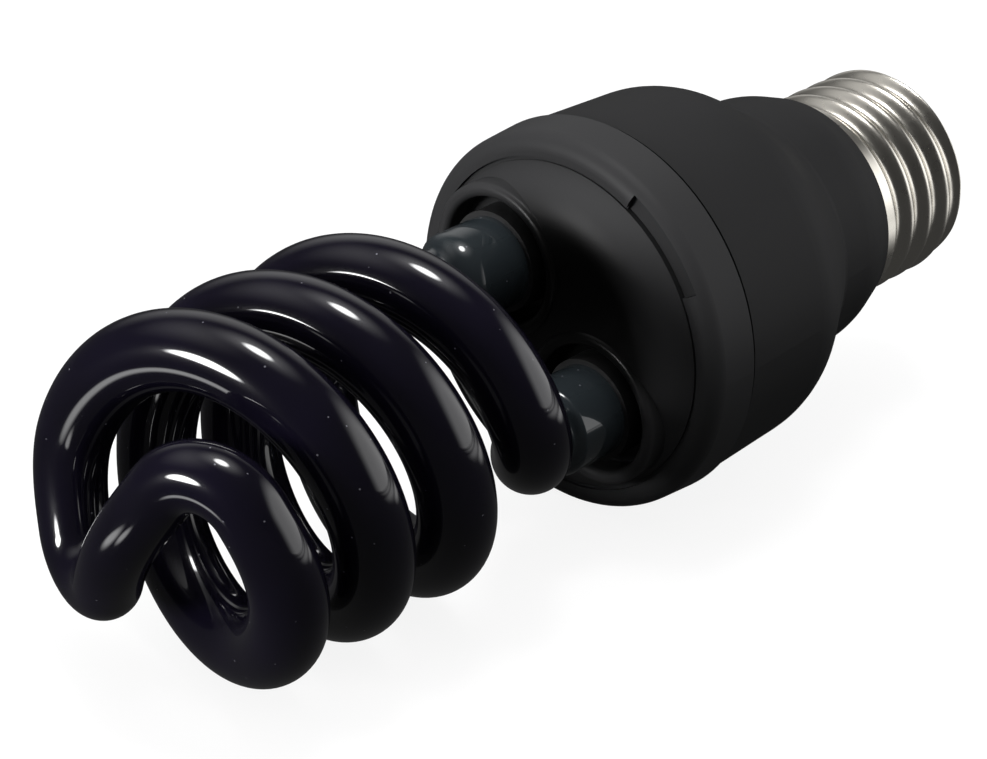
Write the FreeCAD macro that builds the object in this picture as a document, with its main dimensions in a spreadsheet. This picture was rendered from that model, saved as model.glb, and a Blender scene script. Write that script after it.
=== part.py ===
"""Spiral ultraviolet lamp: a double-spiral glass tube on a two-part ballast housing with an E27 screw cap.

The lamp is drawn along its own axis, with height 0 at the edge of the metal cap and the tube towards +Z,
and is then laid on its side, where it rests on the rim of the tube cover and on the first turn of the tube.
"""

import FreeCAD, Part
import math
import os
import re

import Sketcher

V = FreeCAD.Vector
doc = FreeCAD.newDocument("spiral_lamp")

SIZES = [
    ("tube_radius", 4.1, "outer radius of the glass tube"),
    ("coil_radius", 16.4, "axis of the lamp to the middle of the tube"),
    ("coil_turn", 548.0, "degrees that each arm winds"),
    ("tip_reach", 61.0, "sockets to the middle of the tube where it crosses the tip"),
    ("tip_fall", 4.4, "fall from the crossing to the start of the winding"),
    ("tip_pull", 1.1, "how far the first turn is drawn in at the tip"),
    ("tip_blend", 40.0, "degrees over which the first turn comes out to its full radius"),
    ("tip_bend", 5.3, "bend radius on each side of the crossing"),
    ("tip_angle", 237.0, "direction in which the first arm leaves the tip"),
    ("bend_height", 20.067, "sockets to the end of the winding"),
    ("bend_out", 10.0, "how far the winding runs on straight into its bend"),
    ("bend_down", 8.0, "how far the leg reaches straight up into its bend"),
    ("leg_offset", 10.0, "axis of the lamp to the middle of each leg"),
    ("leg_angle", 317.4, "direction of the first arm's leg"),
    ("leg_stand", 6.1, "sockets to the start of each leg's bend"),
    ("end_radius", 5.5, "outer radius of the widened end of each leg"),
    ("end_reach", 8.6, "sockets to the top of that end"),
    ("end_round", 2.4, "rounding at the top of that end"),
    ("leg_clearance", 0.25, "gap between leg and hole"),
    ("lead_length", 4.4, "board to the sealed end of each leg"),
    ("parting_height", 36.2, "cap's edge to the parting line between housing and cover"),
    ("parting_gap", 0.6, "shadow gap between housing and cover"),
    ("parting_step", 0.35, "how far the cover stands proud of the housing"),
    ("cover_depth", 6.4, "parting line to the cover's front rim"),
    ("cover_draft", 0.4, "how far the cover draws in to its front rim"),
    ("cover_round", 2.0, "rounding of the front rim"),
    ("cover_wall", 1.8, "wall of the cover"),
    ("rim_land", 0.5, "flat of the front rim beside the seam"),
    ("rim_step", 0.2, "front rim to the dome's edge"),
    ("seam_width", 0.5, "width of the seam round the dome"),
    ("seam_depth", 0.45, "depth of that seam"),
    ("dome_slope", 4.65, "width of the dome's slope"),
    ("dome_rise", 3.1, "rise of the dome"),
    ("dome_round", 9.0, "rounding between the dome's slope and flat"),
    ("socket_radius", 9.2, "outside of the raised ring round each leg"),
    ("socket_margin", 0.45, "raised ring to the seam"),
    ("socket_wall", 1.6, "wall of that ring"),
    ("socket_rise", 0.4, "height of that ring above the dome"),
    ("socket_depth", 3.4, "depth of the cup inside the ring"),
    ("socket_round", 0.7, "rounding of the ring's edges"),
    ("seal_wall", 0.6, "wall of the sleeve of sealant round each leg"),
    ("seal_depth", 3.5, "height of that sleeve"),
    ("slot_angle", 45.4, "direction of the middle of the first latch slot"),
    ("slot_span", 34.0, "degrees that each latch slot spans"),
    ("slot_width", 2.3, "width of each latch slot"),
    ("slot_depth", 0.9, "depth of each latch slot below the rim"),
    ("housing_wall", 1.6, "wall of the housing"),
    ("housing_draft", 0.7, "how far the housing draws in to its shoulder"),
    ("shoulder_height", 19.9, "cap's edge to the shoulder"),
    ("shoulder_round", 10.0, "rounding of the shoulder"),
    ("root_height", 11.1, "cap's edge to the hollow corner where the neck begins"),
    ("root_round", 2.0, "rounding of that hollow corner"),
    ("neck_draft", 0.5, "how far the neck draws in along its length"),
    ("neck_height", 4.4, "cap's edge to the neck's last curve"),
    ("neck_round", 12.0, "rounding of that curve"),
    ("neck_draw", 1.6, "how far that curve draws in"),
    ("neck_overhang", 1.25, "how far the neck stands proud of the cap"),
    ("spigot_length", 8.0, "spigot of the housing inside the cap"),
    ("spigot_clearance", 0.1, "gap between spigot and cap"),
    ("tongue_clearance", 0.1, "gap between the cover's tongue and the housing"),
    ("tongue_wall", 1.7, "wall of the cover's tongue"),
    ("ledge_width", 1.5, "width of the ledge under the board"),
    ("board_clearance", 0.95, "gap between board and housing"),
    ("board_height", 28.0, "cap's edge to the board's component side"),
    ("board_thickness", 1.6, "thickness of the board"),
    ("crest_radius", 13.05, "crest of the screw thread"),
    ("thread_depth", 0.95, "depth of the screw thread"),
    ("thread_pitch", 3.629, "pitch of the screw thread"),
    ("thread_start", 3.0, "cap's edge to the start of the groove"),
    ("thread_angle", 180.0, "direction in which the groove starts"),
    ("crest_relief", 0.02, "how far the crest's rounding is cut back"),
    ("crest_flat", 0.1, "gap between neighbouring grooves"),
    ("groove_room", 0.6, "how far the groove's cutter reaches past the crest"),
    ("shell_wall", 0.35, "sheet of the cap under the thread's root"),
    ("shell_length", 18.8, "length of the cap's shell"),
    ("shell_taper", 2.2, "length of the drawn-in end of the shell"),
    ("mouth_draw", 2.65, "how far that end is drawn in"),
    ("insulator_length", 4.5, "insulator below the shell"),
    ("insulator_end", 5.6, "radius of the insulator at the contact"),
    ("contact_radius", 4.8, "centre contact"),
    ("contact_height", 1.7, "disc of the centre contact"),
    ("solder_radius", 2.4, "solder drop on the contact"),
    ("solder_height", 0.8, "height of the solder drop"),
    ("wire_radius", 0.3, "inner lead wires"),
    ("wire_room", 0.75, "gap between the cap's leads and their neighbours"),
    ("lead_gap", 2.4, "two lead wires of one leg, middle to middle"),
    ("lead_drop", 2.5, "spigot's end to the end of the shell's lead"),
    ("lead_bend", 1.5, "bend radius of the shell's lead"),
    ("fuse_radius", 1.6, "fusible resistor"),
    ("fuse_length", 9.0, "length of the fusible resistor"),
    ("fuse_top", 2.0, "depth of the fusible resistor's upper end in the cap"),
    ("storage_radius", 5.0, "storage capacitor"),
    ("storage_height", 19.0, "length of the storage capacitor"),
    ("choke_width", 16.0, "ferrite core of the choke, across"),
    ("choke_height", 11.0, "ferrite core of the choke, along the lamp"),
    ("choke_depth", 5.0, "ferrite core of the choke, thickness"),
    ("choke_limb", 4.0, "middle limb of the core, and twice its outer limbs"),
    ("choke_y", -9.5, "middle of the choke"),
    ("bobbin_wall", 0.6, "wall of the choke's bobbin"),
    ("winding_build", 2.4, "build of the choke's winding"),
    ("ring_radius", 4.0, "outside of the drive ring core"),
    ("ring_bore", 2.0, "bore of the drive ring core"),
    ("ring_height", 3.5, "height of the drive ring core"),
    ("ring_x", 10.0, "middle of the drive ring, across"),
    ("ring_y", 5.5, "middle of the drive ring, upwards"),
    ("turn_radius", 0.3, "wire of the drive windings"),
    ("turn_gap", 0.15, "gap between the drive windings and the core"),
    ("resonant_length", 5.0, "resonant capacitor, across"),
    ("resonant_width", 11.0, "resonant capacitor, along its flat side"),
    ("resonant_height", 9.0, "resonant capacitor, height"),
    ("resonant_x", -10.8, "middle of the resonant capacitor, across"),
    ("resonant_y", 0.2, "middle of the resonant capacitor, upwards"),
    ("blocking_length", 4.0, "blocking capacitor, across"),
    ("blocking_width", 7.0, "blocking capacitor, along its flat side"),
    ("blocking_height", 7.0, "blocking capacitor, height"),
    ("blocking_x", 12.2, "middle of the blocking capacitor, across"),
    ("blocking_y", -5.0, "middle of the blocking capacitor, upwards"),
    ("transistor_radius", 2.3, "transistors"),
    ("transistor_height", 4.6, "height of the transistors"),
    ("transistor_1_x", -6.4, "first transistor, across"),
    ("transistor_1_y", 12.4, "first transistor, upwards"),
    ("transistor_2_x", -11.0, "second transistor, across"),
    ("transistor_2_y", 8.9, "second transistor, upwards"),
    ("diode_radius", 1.3, "rectifier diodes"),
    ("diode_height", 5.0, "height of the rectifier diodes"),
    ("diode_1_x", 4.0, "first diode, across"),
    ("diode_1_y", 14.5, "first diode, upwards"),
    ("diode_2_x", 0.2, "second diode, across"),
    ("diode_2_y", 15.2, "second diode, upwards"),
    ("diode_3_x", 7.0, "third diode, across"),
    ("diode_3_y", 12.9, "third diode, upwards"),
    ("diode_4_x", 10.3, "fourth diode, across"),
    ("diode_4_y", -10.6, "fourth diode, upwards"),
    ("resistor_radius", 1.1, "resistors"),
    ("resistor_height", 6.0, "height of the resistors"),
    ("resistor_1_x", -13.0, "first resistor, across"),
    ("resistor_1_y", -8.2, "first resistor, upwards"),
    ("resistor_2_x", -10.2, "second resistor, across"),
    ("resistor_2_y", -11.0, "second resistor, upwards"),
    ("seat_gap", 0.2, "gap between the board and what hangs from it"),
]

sheet = doc.addObject("Spreadsheet::Sheet", "dims")
for row, (alias, number, meaning) in enumerate(SIZES, 1):
    sheet.set(f"A{row}", meaning)
    sheet.set(f"B{row}", str(number))
    sheet.setAlias(f"B{row}", alias)
doc.recompute()
ALIASES = {alias for alias, number, meaning in SIZES}


def bound(text):
    """A size written with plain aliases, as an expression that names the sheet."""
    return re.sub(r"[a-z_][a-z_0-9]*", lambda word: f"dims.{word[0]}" if word[0] in ALIASES else word[0], text)


def size(text):
    """The value of such a size, in millimetres or degrees."""
    return float(sheet.evalExpression(text))


def bind(piece, **sizes):
    for name, text in sizes.items():
        piece.setExpression(name, bound(text))


def origin_plane(body, role):
    return next(feature for feature in body.Origin.OriginFeatures if feature.Role == role)


def new_sketch(body, name, role, height="0"):
    sketch = body.newObject("Sketcher::SketchObject", name)
    sketch.AttachmentSupport = [(origin_plane(body, role), "")]
    sketch.MapMode = "FlatFace"
    sketch.setExpression("AttachmentOffset.Base.z", bound(height))
    return sketch


def pin(sketch, kind, geometry, point, text):
    """Hold one coordinate of a sketch point at a size; a zero lies on the sketch's own axis."""
    if text == "0":
        axis = -2 if kind == "DistanceX" else -1
        sketch.addConstraint(Sketcher.Constraint("PointOnObject", geometry, point, axis))
        return
    index = sketch.addConstraint(Sketcher.Constraint(kind, -1, 1, geometry, point, size(text)))
    sketch.setExpression(f"Constraints[{index}]", bound(text))


def polygon(sketch, corners):
    """Closed outline whose corners are given as pairs of sizes."""
    spots = [V(size(across), size(along), 0) for across, along in corners]
    for first, second in zip(spots, spots[1:] + spots[:1]):
        sketch.addGeometry(Part.LineSegment(first, second))
    for edge in range(len(spots)):
        following = (edge + 1) % len(spots)
        sketch.addConstraint(Sketcher.Constraint("Coincident", edge, 2, following, 1))
    for corner, (across, along) in enumerate(corners):
        pin(sketch, "DistanceX", corner, 1, across)
        pin(sketch, "DistanceY", corner, 1, along)


def revolved(body, name, corners):
    """Solid of revolution about the lamp's axis, from an outline of radius and height."""
    sketch = new_sketch(body, f"{name}_section", "XZ_Plane")
    polygon(sketch, corners)
    turn = body.newObject("PartDesign::Revolution", name)
    turn.Profile = sketch
    turn.ReferenceAxis = (sketch, ["V_Axis"])
    turn.Angle = 360
    doc.recompute()
    return turn


def rounded(body, name, rings, radius):
    """Fillet on the circular edges of the body that have the given radius and height."""
    doc.recompute()
    base = body.Tip
    wanted = [(size(across), size(along)) for across, along in rings]
    edges = []
    for number, edge in enumerate(base.Shape.Edges, 1):
        if not isinstance(edge.Curve, Part.Circle):
            continue
        place = (edge.Curve.Radius, edge.Curve.Center.z)
        if any(math.dist(place, ring) < 1e-4 for ring in wanted):
            edges.append(f"Edge{number}")
    fillet = body.newObject("PartDesign::Fillet", name)
    fillet.Base = (base, edges)
    bind(fillet, Radius=radius)
    doc.recompute()
    return fillet


def leg_places():
    """Middle of each leg, seen along the lamp's axis."""
    angle = math.radians(size("leg_angle"))
    first = V(math.cos(angle), math.sin(angle), 0) * size("leg_offset")
    return [first, -first]


# Heights and radii that several pieces share.

BOARD_TOP = "board_height + board_thickness"
RIM_HEIGHT = "parting_height + cover_depth"
DOME_EDGE = f"{RIM_HEIGHT} - rim_step"
DOME_TOP = f"{DOME_EDGE} + dome_rise"
SOCKET_TOP = f"{DOME_TOP} + socket_rise"
SOCKET_FLOOR = f"{SOCKET_TOP} - socket_depth"
LEG_END = f"{BOARD_TOP} + lead_length"
TIP_HEIGHT = f"{SOCKET_TOP} + tip_reach"
COIL_PITCH = "(tip_reach - tip_fall - bend_height) * 360 / coil_turn"
SEAM_INNER = "leg_offset + socket_radius + socket_margin"
SEAM_OUTER = f"{SEAM_INNER} + seam_width"
RIM_RADIUS = f"{SEAM_OUTER} + rim_land + cover_round"
COVER_RADIUS = f"{RIM_RADIUS} + cover_draft"
HOUSING_RADIUS = f"{COVER_RADIUS} - parting_step"
HOUSING_BORE = f"{HOUSING_RADIUS} - housing_wall"
SHOULDER_RADIUS = f"{HOUSING_RADIUS} - housing_draft"
NECK_END = "crest_radius + neck_overhang"
NECK_RADIUS = f"{NECK_END} + neck_draw"
ROOT_RADIUS = f"{NECK_RADIUS} + neck_draft"
SHELL_BORE = "crest_radius - thread_depth - shell_wall"
SHELL_MOUTH = "crest_radius - mouth_draw"
SPIGOT = f"{SHELL_BORE} - spigot_clearance"

pieces = []


def keep(piece, label, place=FreeCAD.Placement()):
    """Name a finished piece and note where it stands along the lamp's axis."""
    piece.Label = label
    pieces.append((piece, place))
    return piece


def new_body(label):
    return keep(doc.addObject("PartDesign::Body", label), label)


# Glass tube: one length of coloured glass, wound as two arms from a straight crossing at the tip.
# Each arm bends into the winding, makes its turns and bends inwards to a leg along the axis,
# which widens to the end that holds the electrode.


def arm_wire():
    """Centre line of the first arm, from the middle of the crossing into the widened end of its leg."""
    start_radius = size("coil_radius - tip_pull")
    bend = size("tip_bend")
    run = math.sqrt(start_radius**2 - 2 * start_radius * bend)
    lean = math.atan2(bend, run)
    turn = math.pi / 2 + lean
    length = run + bend * turn
    pitch = size(COIL_PITCH)
    slope = pitch / (2 * math.pi * start_radius)
    top = size(TIP_HEIGHT)
    fall = size("tip_fall")
    tip_angle = math.radians(size("tip_angle"))
    outward = V(math.cos(tip_angle), math.sin(tip_angle), 0)
    sideways = V(outward.y, -outward.x, 0)

    def crossing(along):
        """Point of the crossing and its bend, a given length from the middle."""
        share = along / length
        drop = (3 * fall - slope * length) * share**2 + (slope * length - 2 * fall) * share**3
        around = max(along - run, 0) / bend
        out = min(along, run) + bend * math.sin(around)
        side = bend - bend * math.cos(around)
        return outward * out + sideways * side + V(0, 0, top - drop)

    def winding(angle):
        """Point of the winding, a given angle past the bend."""
        share = min(angle / math.radians(size("tip_blend")), 1)
        radius = start_radius + size("tip_pull") * (3 * share**2 - 2 * share**3)
        height = top - fall - pitch * angle / (2 * math.pi)
        around = tip_angle - lean - angle
        return V(radius * math.cos(around), radius * math.sin(around), height)

    bend_steps = 5
    points = [V(0, 0, top), crossing(run / 2)]
    points += [crossing(run + bend * turn * step / bend_steps) for step in range(bend_steps)]
    winding_steps = 32
    full = math.radians(size("coil_turn"))
    points += [winding(full * step / winding_steps) for step in range(winding_steps + 1)]

    nudge = 1e-3
    heading = (winding(full) - winding(full - nudge)).normalize()
    leg = leg_places()[0]
    leg_top = leg + V(0, 0, size(f"{SOCKET_TOP} + leg_stand"))
    down = V(0, 0, -1)
    ahead = points[-1] + heading * size("bend_out")
    above = leg_top - down * size("bend_down")
    entry = Part.BezierCurve()
    entry.setPoles([points[-1], ahead, above, leg_top])
    line = Part.BSplineCurve()
    line.interpolate(Points=points, InitialTangent=outward, FinalTangent=heading, Scale=False)
    straight = Part.LineSegment(leg_top, leg + V(0, 0, size(SOCKET_TOP)))
    return Part.Wire([line.toShape(), entry.toShape(), straight.toShape()]), outward


def glass_tube():
    wire, outward = arm_wire()
    ring = Part.Circle(V(0, 0, size(TIP_HEIGHT)), outward, size("tube_radius"))
    arm = wire.makePipeShell([Part.Wire(ring.toShape())], True, False)
    foot = leg_places()[0] + V(0, 0, size(LEG_END))
    length = size(f"{SOCKET_TOP} + end_reach - ({LEG_END})")
    end = Part.makeCylinder(size("end_radius"), length, foot)
    circles = [edge for edge in end.Edges if isinstance(edge.Curve, Part.Circle)]
    shoulder = max(circles, key=lambda edge: edge.Curve.Center.z)
    arm = arm.fuse(end.makeFillet(size("end_round"), [shoulder]))
    other = arm.copy()
    other.rotate(V(0, 0, 0), V(0, 0, 1), 180)
    return arm.fuse(other)


tube = keep(doc.addObject("Part::Feature", "spiral_tube"), "spiral_tube")
tube.Shape = glass_tube()

# Tube cover: black moulded front of the housing, with a rounded rim, a seam, a low dome and two leg sockets.
# Its tongue slides into the housing and holds the board down on its ledge.

cover = new_body("tube_cover")
TONGUE_OUTER = f"{HOUSING_BORE} - tongue_clearance"
TONGUE_INNER = f"{TONGUE_OUTER} - tongue_wall"
DOME_FLAT = f"{SEAM_INNER} - dome_slope"
revolved(
    cover,
    "cover_shell",
    [
        (COVER_RADIUS, "parting_height"),
        (RIM_RADIUS, RIM_HEIGHT),
        (SEAM_OUTER, RIM_HEIGHT),
        (SEAM_OUTER, f"{RIM_HEIGHT} - seam_depth"),
        (SEAM_INNER, f"{RIM_HEIGHT} - seam_depth"),
        (SEAM_INNER, DOME_EDGE),
        (DOME_FLAT, DOME_TOP),
        ("0", DOME_TOP),
        ("0", f"{DOME_TOP} - cover_wall"),
        (f"{DOME_FLAT} - cover_wall / 2", f"{DOME_TOP} - cover_wall"),
        (TONGUE_INNER, f"{DOME_EDGE} - cover_wall"),
        (TONGUE_INNER, BOARD_TOP),
        (TONGUE_OUTER, BOARD_TOP),
        (TONGUE_OUTER, "parting_height"),
    ],
)
rounded(cover, "front_round", [(RIM_RADIUS, RIM_HEIGHT)], "cover_round")
rounded(cover, "dome_blend", [(DOME_FLAT, DOME_TOP)], "dome_round")


def leg_circles(name, height, radius):
    """Sketch across the lamp with one circle round each leg."""
    sketch = new_sketch(cover, name, "XY_Plane", height)
    side = {0: "cos(leg_angle * 1deg)", 1: "sin(leg_angle * 1deg)"}
    for number, (spot, sign) in enumerate(zip(leg_places(), ("", "-1 * "))):
        sketch.addGeometry(Part.Circle(spot, V(0, 0, 1), size(radius)))
        for axis, kind in enumerate(("DistanceX", "DistanceY")):
            text = f"{sign}leg_offset * {side[axis]}"
            index = sketch.addConstraint(Sketcher.Constraint(kind, -1, 1, number, 3, spot[axis]))
            sketch.setExpression(f"Constraints[{index}]", bound(text))
        index = sketch.addConstraint(Sketcher.Constraint("Radius", number, size(radius)))
        sketch.setExpression(f"Constraints[{index}]", bound(radius))
    return sketch


socket = cover.newObject("PartDesign::Pad", "sockets")
socket.Profile = leg_circles("socket_outline", f"{SOCKET_FLOOR} - cover_wall", "socket_radius")
bind(socket, Length="socket_depth + cover_wall")
doc.recompute()
cup = cover.newObject("PartDesign::Pocket", "cups")
cup.Profile = leg_circles("cup_outline", SOCKET_TOP, "socket_radius - socket_wall")
bind(cup, Length="socket_depth")
doc.recompute()
leg_hole = cover.newObject("PartDesign::Pocket", "leg_holes")
leg_hole.Profile = leg_circles("hole_outline", SOCKET_FLOOR, "end_radius + leg_clearance")
bind(leg_hole, Length="2 * cover_wall")
doc.recompute()
rounded(
    cover,
    "socket_rounds",
    [("socket_radius", SOCKET_TOP), ("socket_radius - socket_wall", SOCKET_TOP)],
    "socket_round",
)

slot_sketch = new_sketch(cover, "slot_section", "XZ_Plane")
polygon(
    slot_sketch,
    [
        (SEAM_INNER, f"{RIM_HEIGHT} - slot_depth"),
        (f"{SEAM_INNER} + slot_width", f"{RIM_HEIGHT} - slot_depth"),
        (f"{SEAM_INNER} + slot_width", f"{RIM_HEIGHT} + slot_depth"),
        (SEAM_INNER, f"{RIM_HEIGHT} + slot_depth"),
    ],
)
slot_sketch.AttachmentOffset = FreeCAD.Placement(V(), FreeCAD.Rotation(V(0, 1, 0), size("slot_angle")))
slot = cover.newObject("PartDesign::Groove", "latch_slot")
slot.Profile = slot_sketch
slot.ReferenceAxis = (slot_sketch, ["V_Axis"])
slot.Midplane = True
bind(slot, Angle="slot_span")
doc.recompute()
slots = cover.newObject("PartDesign::PolarPattern", "latch_slots")
slots.Originals = [slot]
slots.Axis = (slot_sketch, ["V_Axis"])
slots.Angle = 360
slots.Occurrences = 2
cover.Tip = slots
doc.recompute()

# Ballast housing: black moulded cup with a rounded shoulder and a neck that ends in the cap.
# Inside are the ledge for the board and, below the neck, the spigot on which the cap is staked.

housing = new_body("ballast_housing")
LEDGE = f"{HOUSING_BORE} - ledge_width"
revolved(
    housing,
    "housing_shell",
    [
        (SPIGOT, "-1 * spigot_length"),
        (SPIGOT, "0"),
        (NECK_END, "0"),
        (NECK_RADIUS, "neck_height"),
        (ROOT_RADIUS, "root_height"),
        (SHOULDER_RADIUS, "shoulder_height"),
        (HOUSING_RADIUS, "parting_height - parting_gap"),
        (HOUSING_BORE, "parting_height - parting_gap"),
        (HOUSING_BORE, "board_height"),
        (LEDGE, "board_height"),
        (LEDGE, "board_height - ledge_width"),
        (f"{SHOULDER_RADIUS} - housing_wall", "board_height - 2 * ledge_width"),
        (f"{SHOULDER_RADIUS} - housing_wall", "shoulder_height"),
        (f"{ROOT_RADIUS} - housing_wall", "root_height"),
        (f"{NECK_RADIUS} - housing_wall", "neck_height"),
        (f"{SPIGOT} - housing_wall", "housing_wall"),
        (f"{SPIGOT} - housing_wall", "-1 * spigot_length"),
    ],
)
rounded(housing, "shoulder_blend", [(SHOULDER_RADIUS, "shoulder_height")], "shoulder_round")
rounded(housing, "neck_blend", [(NECK_RADIUS, "neck_height")], "neck_round")
rounded(housing, "root_blend", [(ROOT_RADIUS, "root_height")], "root_round")

# Screw shell: nickel-plated sheet with a rolled right-handed knuckle thread, drawn in over the insulator.

shell_blank = doc.addObject("PartDesign::Body", "shell_blank")
revolved(
    shell_blank,
    "shell_turned",
    [
        (SHELL_BORE, "0"),
        ("crest_radius", "0"),
        ("crest_radius", "shell_taper - shell_length"),
        (SHELL_MOUTH, "-1 * shell_length"),
        (f"{SHELL_MOUTH} - 2 * shell_wall", "-1 * shell_length"),
        (f"{SHELL_MOUTH} - 2 * shell_wall", "shell_wall - shell_length"),
        (SHELL_BORE, "shell_taper - shell_length"),
    ],
)


def thread_groove():
    """Solid that the thread leaves out: a groove of a root arc between two crest arcs, swept down the cap."""
    crest = size("crest_radius + crest_relief")
    depth = size("thread_depth + crest_relief")
    half = size("thread_pitch - crest_flat") / 2
    swing = 2 * math.atan2(depth, half)
    arc = half / (2 * math.sin(swing))
    pitch = size("thread_pitch")
    rise = pitch * math.ceil(size("shell_length - thread_start") / pitch)
    level = -size("thread_start") - rise
    beyond = crest + size("groove_room")

    def spot(radius, height):
        return V(radius, 0, level + height)

    side = arc * math.sin(swing)
    middle = crest - depth / 2
    root = Part.Arc(spot(middle, -side), spot(crest - depth, 0), spot(middle, side))
    swell = arc * (1 - math.cos(swing / 2))
    lag = arc * math.sin(swing / 2)
    upper = Part.Arc(spot(middle, side), spot(crest - swell, half - lag), spot(crest, half))
    lower = Part.Arc(spot(crest, -half), spot(crest - swell, lag - half), spot(middle, -side))
    edges = [
        root.toShape(),
        upper.toShape(),
        Part.LineSegment(spot(crest, half), spot(beyond, half)).toShape(),
        Part.LineSegment(spot(beyond, half), spot(beyond, -half)).toShape(),
        Part.LineSegment(spot(beyond, -half), spot(crest, -half)).toShape(),
        lower.toShape(),
    ]
    helix = Part.makeHelix(pitch, rise, crest)
    helix.translate(V(0, 0, level))
    groove = Part.Wire(helix.Edges).makePipeShell([Part.Wire(edges)], True, True)
    groove.rotate(V(0, 0, 0), V(0, 0, 1), size("thread_angle"))
    return groove


groove = doc.addObject("Part::Feature", "thread_groove")
groove.Shape = thread_groove()
shell = keep(doc.addObject("Part::Cut", "screw_shell"), "screw_shell")
shell.Base = shell_blank
shell.Tool = groove

# Insulator and contact: black glass cone held by the drawn-in shell, with a brass disc and its drop of solder.

insulator = new_body("cap_insulator")
LEAD_HOLE = "wire_radius + leg_clearance"
revolved(
    insulator,
    "insulator_cone",
    [
        (LEAD_HOLE, "shell_taper - shell_length"),
        (SHELL_BORE, "shell_taper - shell_length"),
        (f"{SHELL_MOUTH} - 2 * shell_wall", "shell_wall - shell_length"),
        (f"{SHELL_MOUTH} - 2 * shell_wall", "-1 * shell_length"),
        (SHELL_MOUTH, "-1 * shell_length"),
        ("insulator_end", "-1 * shell_length - insulator_length"),
        (LEAD_HOLE, "-1 * shell_length - insulator_length"),
    ],
)

contact = new_body("centre_contact")
CONTACT_TOP = "-1 * shell_length - insulator_length"
revolved(
    contact,
    "contact_disc",
    [
        ("0", CONTACT_TOP),
        ("contact_radius", CONTACT_TOP),
        ("contact_radius - contact_height / 2", f"{CONTACT_TOP} - contact_height"),
        ("solder_radius", f"{CONTACT_TOP} - contact_height"),
        ("solder_radius / 2", f"{CONTACT_TOP} - contact_height - solder_height"),
        ("0", f"{CONTACT_TOP} - contact_height - solder_height"),
    ],
)

# Sealant: a black sleeve of silicone in each cup that bonds the leg to the cover.


def cylinder(label, radius, height, spot, base):
    """Round piece along the lamp's axis that stands on the height base."""
    piece = doc.addObject("Part::Cylinder", label)
    bind(piece, Radius=radius, Height=height)
    return keep(piece, label, FreeCAD.Placement(V(spot[0], spot[1], size(base)), FreeCAD.Rotation()))


def scratch_cylinder(name, radius, height, at):
    piece = doc.addObject("Part::Cylinder", name)
    bind(piece, Radius=radius, Height=height)
    piece.Placement = FreeCAD.Placement(at, FreeCAD.Rotation())
    return piece


def scratch_box(name, length, width, height, at):
    piece = doc.addObject("Part::Box", name)
    bind(piece, Length=length, Width=width, Height=height)
    piece.Placement = FreeCAD.Placement(at, FreeCAD.Rotation())
    return piece


def cut(name, base, tool):
    piece = doc.addObject("Part::Cut", name)
    piece.Base = base
    piece.Tool = tool
    return piece


for number, spot in enumerate(leg_places(), 1):
    floor = spot + V(0, 0, size(SOCKET_FLOOR))
    disc = scratch_cylinder(f"seal_disc_{number}", "end_radius + seal_wall", "seal_depth", floor)
    leg = scratch_cylinder(f"seal_leg_{number}", "end_radius", "seal_depth", floor)
    keep(cut(f"tube_seal_{number}", disc, leg), f"tube_seal_{number}")

# Ballast: a round board on the housing's ledge, with its parts hanging towards the cap.

cylinder("circuit_board", f"{HOUSING_BORE} - board_clearance", "board_thickness", (0, 0), "board_height")
UNDERSIDE = "board_height - seat_gap"


def spot_of(name):
    """Place of a part on the board, from the sheet."""
    return V(size(f"{name}_x"), size(f"{name}_y"), 0)


def hung_cylinder(label, kind, spot):
    """Round part that hangs from the board, sized by the aliases of its kind."""
    cylinder(label, f"{kind}_radius", f"{kind}_height", spot, f"{UNDERSIDE} - {kind}_height")


def hung_block(label, kind):
    """Block that hangs from the board about its place."""
    piece = doc.addObject("Part::Box", label)
    bind(piece, Length=f"{kind}_length", Width=f"{kind}_width", Height=f"{kind}_height")
    middle = spot_of(kind) + V(0, 0, size(f"{UNDERSIDE} - {kind}_height / 2"))
    half = V(size(f"{kind}_length"), size(f"{kind}_width"), size(f"{kind}_height")) / 2
    keep(piece, label, FreeCAD.Placement(middle - half, FreeCAD.Rotation()))


hung_cylinder("storage_capacitor", "storage", V(0, size("storage_radius + 2 * wire_radius + wire_room"), 0))
hung_block("resonant_capacitor", "resonant")
hung_block("blocking_capacitor", "blocking")
for number in (1, 2):
    hung_cylinder(f"transistor_{number}", "transistor", spot_of(f"transistor_{number}"))
    hung_cylinder(f"resistor_{number}", "resistor", spot_of(f"resistor_{number}"))
for number in (1, 2, 3, 4):
    hung_cylinder(f"rectifier_diode_{number}", "diode", spot_of(f"diode_{number}"))

for number, spot in enumerate(leg_places()):
    across = V(-spot.y, spot.x, 0).normalize() * size("lead_gap / 2")
    for side, shift in enumerate((across, -across)):
        label = f"tube_lead_{2 * number + side + 1}"
        cylinder(label, "wire_radius", "lead_length", spot + shift, BOARD_TOP)

choke_middle = V(0, size("choke_y"), size(f"{UNDERSIDE} - choke_height / 2"))


def centred_box(name, length, width, height):
    """Box about the middle of the choke."""
    half = V(size(length), size(width), size(height)) / 2
    return scratch_box(name, length, width, height, choke_middle - half)


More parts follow.
